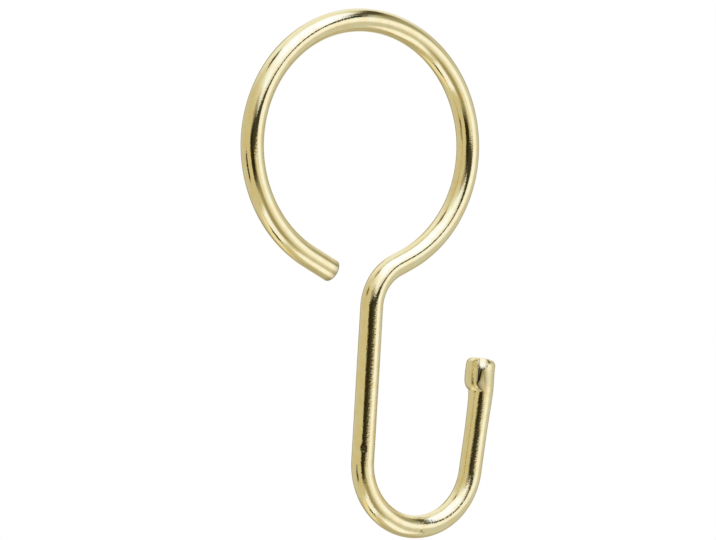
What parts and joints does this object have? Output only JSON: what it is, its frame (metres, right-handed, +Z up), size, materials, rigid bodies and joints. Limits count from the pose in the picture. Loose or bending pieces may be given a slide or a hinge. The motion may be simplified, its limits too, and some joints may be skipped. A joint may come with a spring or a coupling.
{
  "type": "curtain hook",
  "caption": "Bent brass wire curtain hook: an open ring hangs on the curtain rod, and a U-shaped hook with an upset head at its end holds the curtain's eyelet.",
  "frame": {"origin": "centre of the ring, in the wire's middle plane", "axes": "+Z up along the straight shank, +Y along the ring's axis, +X from the shank towards the hook's leg"},
  "size_m": [0.046, 0.0046, 0.0786],
  "materials": {
    "polished_brass": "polished pale brass plating with fine drawing lines"
  },
  "bodies": {
    "root": {"curtain_hook": "polished_brass"}
  },
  "joints": []
}
